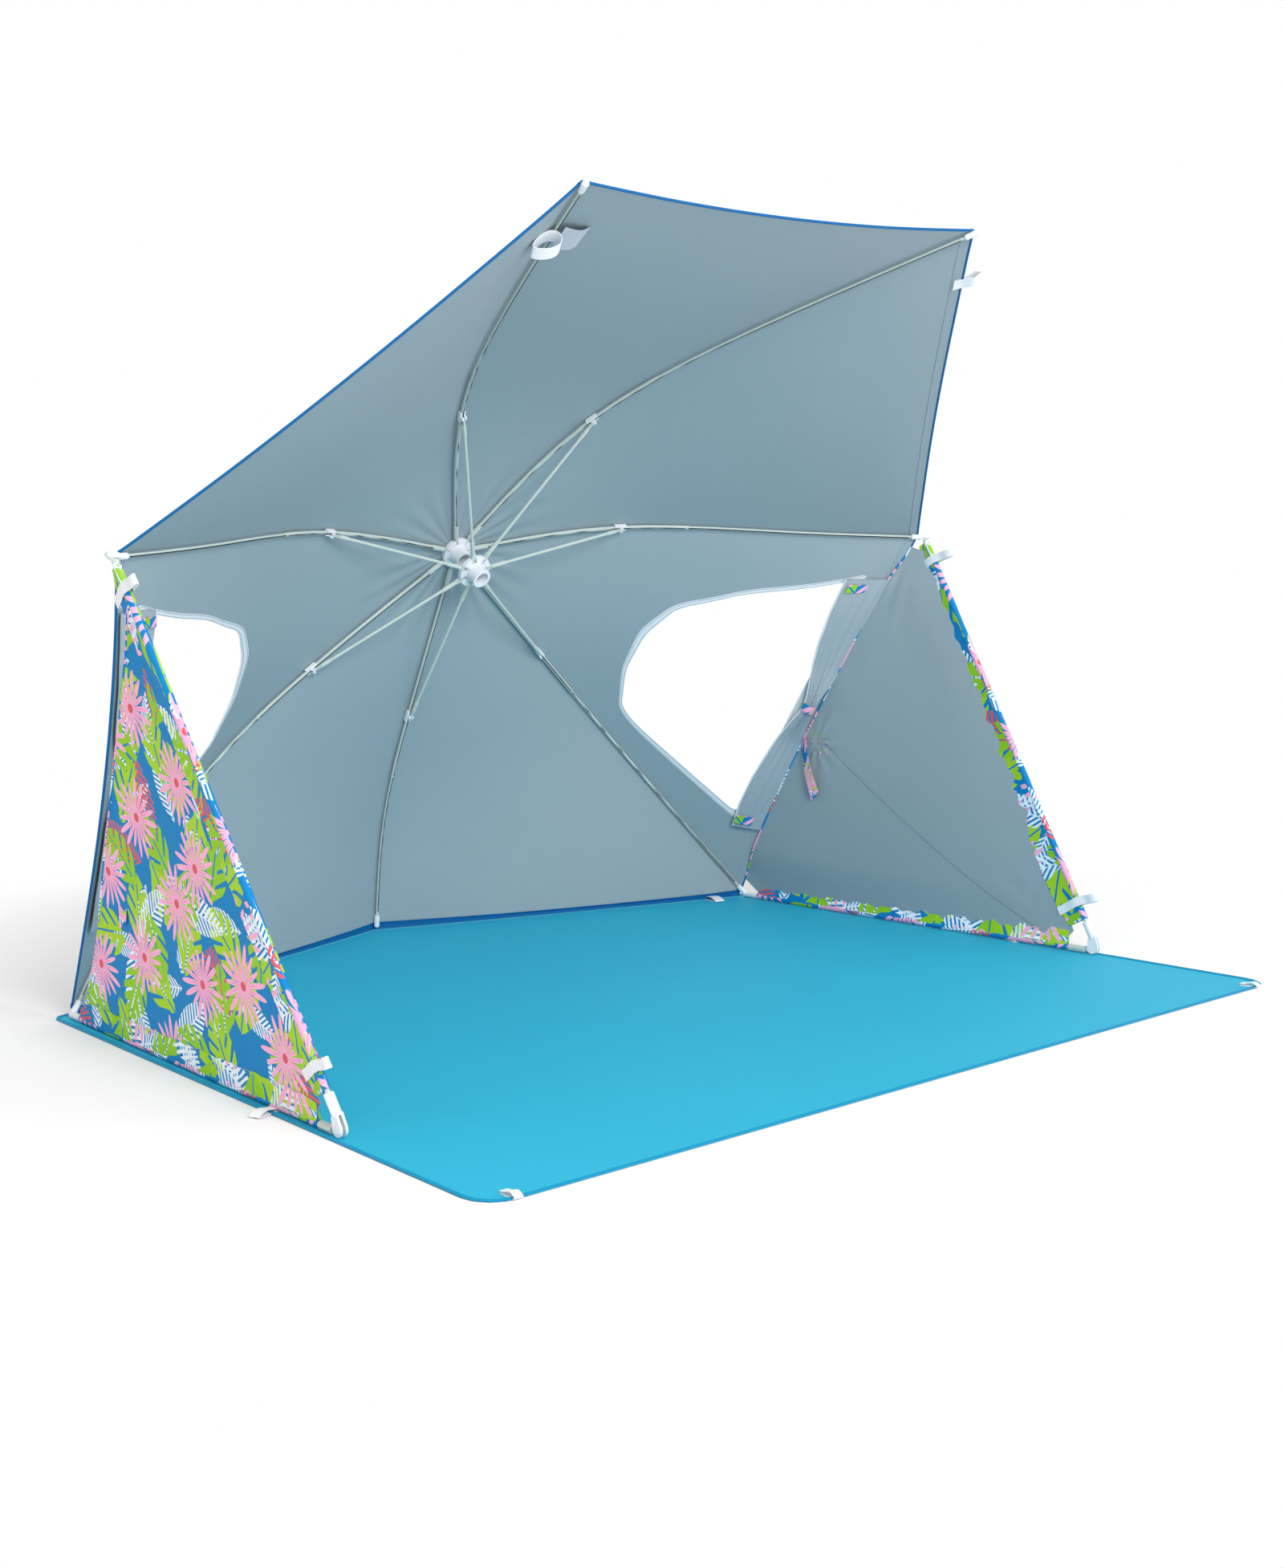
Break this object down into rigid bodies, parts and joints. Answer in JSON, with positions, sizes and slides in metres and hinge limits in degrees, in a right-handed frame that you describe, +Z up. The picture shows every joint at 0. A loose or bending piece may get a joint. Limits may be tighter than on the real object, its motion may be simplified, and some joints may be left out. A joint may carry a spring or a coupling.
{
  "type": "beach tent",
  "caption": "Half-open beach tent built like a tilted umbrella: curved ribs from one crown, side windows with tied-back curtains, two jointed side wings and a ground sheet.",
  "frame": {"origin": "centre of the bounding box's bottom face, on the ground", "axes": "+Z up, the open side faces -Y, +X is the tent's right side seen from behind, and the tent is mirror-symmetric about X = 0"},
  "size_m": [1.8994, 1.489, 1.3237],
  "materials": {
    "canopy_cloth": "matte woven polyester, silver-grey inside, printed outside",
    "wing_cloth": "matte woven polyester, printed outside",
    "ground_cloth": "matte coated polyester",
    "tie_cloth": "matte woven polyester",
    "white_plastic": "satin moulded",
    "rod": "satin",
    "wire": "bright"
  },
  "bodies": {
    "tent": {"crown": "white_plastic", "crown_cap": "white_plastic", "crown_wire": "wire", "canopy_gore_top": "canopy_cloth", "canopy_gore_upper_left": "canopy_cloth", "canopy_gore_upper_right": "canopy_cloth", "canopy_gore_side_left": "canopy_cloth", "canopy_gore_side_right": "canopy_cloth", "canopy_gore_back_left": "canopy_cloth", "canopy_gore_back_right": "canopy_cloth", "ground_sheet": "ground_cloth", "window_curtain_left": "canopy_cloth", "window_curtain_right": "canopy_cloth", "curtain_tie_left": "tie_cloth", "curtain_tie_right": "tie_cloth"},
    "sliding_runner": {"runner": "white_plastic"},
    "rib_arm_back": {"rib_back": "rod", "rib_joint_back": "white_plastic", "rib_tip_back": "white_plastic"},
    "stretcher_arm_back": {"stretcher_back": "rod"},
    "rib_arm_back_right": {"rib_back_right": "rod", "rib_joint_back_right": "white_plastic", "rib_tip_back_right": "white_plastic"},
    "stretcher_arm_back_right": {"stretcher_back_right": "rod"},
    "rib_arm_right": {"rib_right": "rod", "rib_joint_right": "white_plastic", "rib_tip_right": "white_plastic"},
    "stretcher_arm_right": {"stretcher_right": "rod"},
    "rib_arm_top_right": {"rib_top_right": "rod", "rib_joint_top_right": "white_plastic", "rib_tip_top_right": "white_plastic"},
    "stretcher_arm_top_right": {"stretcher_top_right": "rod"},
    "rib_arm_top_left": {"rib_top_left": "rod", "rib_joint_top_left": "white_plastic", "rib_tip_top_left": "white_plastic"},
    "stretcher_arm_top_left": {"stretcher_top_left": "rod"},
    "rib_arm_left": {"rib_left": "rod", "rib_joint_left": "white_plastic", "rib_tip_left": "white_plastic"},
    "stretcher_arm_left": {"stretcher_left": "rod"},
    "rib_arm_back_left": {"rib_back_left": "rod", "rib_joint_back_left": "white_plastic", "rib_tip_back_left": "white_plastic"},
    "stretcher_arm_back_left": {"stretcher_back_left": "rod"},
    "wing_left": {"wing_front_rod_left": "rod", "wing_foot_left": "white_plastic", "wing_panel_left": "wing_cloth"},
    "ground_rod_left": {"wing_ground_rod_left": "rod"},
    "wing_right": {"wing_front_rod_right": "rod", "wing_foot_right": "white_plastic", "wing_panel_right": "wing_cloth"},
    "ground_rod_right": {"wing_ground_rod_right": "rod"}
  },
  "joints": [
    {"name": "runner_slide", "type": "slide", "parent": "tent", "child": "sliding_runner", "axis": [0, -0.84, -0.5426], "range_m": [0, 0.56924], "deforming": ["canopy_gore_top", "canopy_gore_upper_left", "canopy_gore_upper_right", "canopy_gore_side_left", "canopy_gore_side_right", "canopy_gore_back_left", "canopy_gore_back_right", "ground_sheet", "window_curtain_left", "window_curtain_right", "curtain_tie_left", "curtain_tie_right"]},
    {"name": "rib_fold_back", "type": "hinge", "parent": "tent", "child": "rib_arm_back", "pos_m": [0, 0.463, 0.74871], "axis": [-1, 0, 0], "range_deg": [0, 64]},
    {"name": "stretcher_fold_back", "type": "hinge", "parent": "rib_arm_back", "child": "stretcher_arm_back", "pos_m": [0, 0.59989, 0.44421], "axis": [1, 0, 0], "range_deg": [0, 135.14]},
    {"name": "rib_fold_back_right", "type": "hinge", "parent": "tent", "child": "rib_arm_back_right", "pos_m": [0.01876, 0.4581, 0.7563], "axis": [-0.6235, 0.4242, -0.6567], "range_deg": [0, 64]},
    {"name": "stretcher_fold_back_right", "type": "hinge", "parent": "rib_arm_back_right", "child": "stretcher_arm_back_right", "pos_m": [0.27668, 0.52752, 0.55629], "axis": [0.6235, -0.4242, 0.6567], "range_deg": [0, 135.14]},
    {"name": "rib_fold_right", "type": "hinge", "parent": "tent", "child": "rib_arm_right", "pos_m": [0.0234, 0.44708, 0.77336], "axis": [0.2225, 0.529, -0.8189], "range_deg": [0, 64]},
    {"name": "stretcher_fold_right", "type": "hinge", "parent": "rib_arm_right", "child": "stretcher_arm_right", "pos_m": [0.34433, 0.36529, 0.80773], "axis": [-0.2225, -0.529, 0.8189], "range_deg": [0, 135.14]},
    {"name": "rib_fold_top_right", "type": "hinge", "parent": "tent", "child": "rib_arm_top_right", "pos_m": [0.01041, 0.43825, 0.78704], "axis": [0.901, 0.2354, -0.3645], "range_deg": [0, 64]},
    {"name": "stretcher_fold_top_right", "type": "hinge", "parent": "rib_arm_top_right", "child": "stretcher_arm_top_right", "pos_m": [0.15317, 0.2354, 1.00891], "axis": [-0.901, -0.2354, 0.3645], "range_deg": [0, 135.14]},
    {"name": "rib_fold_top_left", "type": "hinge", "parent": "tent", "child": "rib_arm_top_left", "pos_m": [-0.01041, 0.43825, 0.78704], "axis": [0.901, -0.2354, 0.3645], "range_deg": [0, 64]},
    {"name": "stretcher_fold_top_left", "type": "hinge", "parent": "rib_arm_top_left", "child": "stretcher_arm_top_left", "pos_m": [-0.15317, 0.2354, 1.00891], "axis": [-0.901, 0.2354, -0.3645], "range_deg": [0, 135.14]},
    {"name": "rib_fold_left", "type": "hinge", "parent": "tent", "child": "rib_arm_left", "pos_m": [-0.0234, 0.44708, 0.77336], "axis": [0.2225, -0.529, 0.8189], "range_deg": [0, 64]},
    {"name": "stretcher_fold_left", "type": "hinge", "parent": "rib_arm_left", "child": "stretcher_arm_left", "pos_m": [-0.34433, 0.36529, 0.80773], "axis": [-0.2225, 0.529, -0.8189], "range_deg": [0, 135.14]},
    {"name": "rib_fold_back_left", "type": "hinge", "parent": "tent", "child": "rib_arm_back_left", "pos_m": [-0.01876, 0.4581, 0.7563], "axis": [-0.6235, -0.4242, 0.6567], "range_deg": [0, 64]},
    {"name": "stretcher_fold_back_left", "type": "hinge", "parent": "rib_arm_back_left", "child": "stretcher_arm_back_left", "pos_m": [-0.27668, 0.52752, 0.55629], "axis": [0.6235, 0.4242, -0.6567], "range_deg": [0, 135.14]},
    {"name": "wing_fold_left", "type": "hinge", "parent": "rib_arm_left", "child": "wing_left", "pos_m": [-0.94321, 0.08782, 0.79122], "axis": [-0.2664, 0.8088, -0.5243], "range_deg": [0, 257.29], "deforming": ["wing_panel_left"]},
    {"name": "ground_rod_fold_left", "type": "hinge", "parent": "wing_left", "child": "ground_rod_left", "pos_m": [-0.884, -0.3875, 0.0155], "axis": [0.9912, -0.0742, 0.1098], "range_deg": [0, 53.88]},
    {"name": "wing_fold_right", "type": "hinge", "parent": "rib_arm_right", "child": "wing_right", "pos_m": [0.94321, 0.08782, 0.79122], "axis": [-0.2664, -0.8088, 0.5243], "range_deg": [0, 257.29], "deforming": ["wing_panel_right"]},
    {"name": "ground_rod_fold_right", "type": "hinge", "parent": "wing_right", "child": "ground_rod_right", "pos_m": [0.884, -0.3875, 0.0155], "axis": [0.9912, 0.0742, -0.1098], "range_deg": [0, 53.88]}
  ],
  "couplings": [
    {"joint": "rib_fold_back", "follows": "runner_slide", "rad_per_m": 1.9623},
    {"joint": "stretcher_fold_back", "follows": "runner_slide", "rad_per_m": 4.1435},
    {"joint": "rib_fold_back_right", "follows": "runner_slide", "rad_per_m": 1.9623},
    {"joint": "stretcher_fold_back_right", "follows": "runner_slide", "rad_per_m": 4.1435},
    {"joint": "rib_fold_right", "follows": "runner_slide", "rad_per_m": 1.9623},
    {"joint": "stretcher_fold_right", "follows": "runner_slide", "rad_per_m": 4.1435},
    {"joint": "rib_fold_top_right", "follows": "runner_slide", "rad_per_m": 1.9623},
    {"joint": "stretcher_fold_top_right", "follows": "runner_slide", "rad_per_m": 4.1435},
    {"joint": "rib_fold_top_left", "follows": "runner_slide", "rad_per_m": 1.9623},
    {"joint": "stretcher_fold_top_left", "follows": "runner_slide", "rad_per_m": 4.1435},
    {"joint": "rib_fold_left", "follows": "runner_slide", "rad_per_m": 1.9623},
    {"joint": "stretcher_fold_left", "follows": "runner_slide", "rad_per_m": 4.1435},
    {"joint": "rib_fold_back_left", "follows": "runner_slide", "rad_per_m": 1.9623},
    {"joint": "stretcher_fold_back_left", "follows": "runner_slide", "rad_per_m": 4.1435},
    {"joint": "wing_fold_left", "follows": "runner_slide", "rad_per_m": 7.8886},
    {"joint": "ground_rod_fold_left", "follows": "runner_slide", "rad_per_m": 1.652},
    {"joint": "wing_fold_right", "follows": "runner_slide", "rad_per_m": 7.8886},
    {"joint": "ground_rod_fold_right", "follows": "runner_slide", "rad_per_m": 1.652}
  ]
}
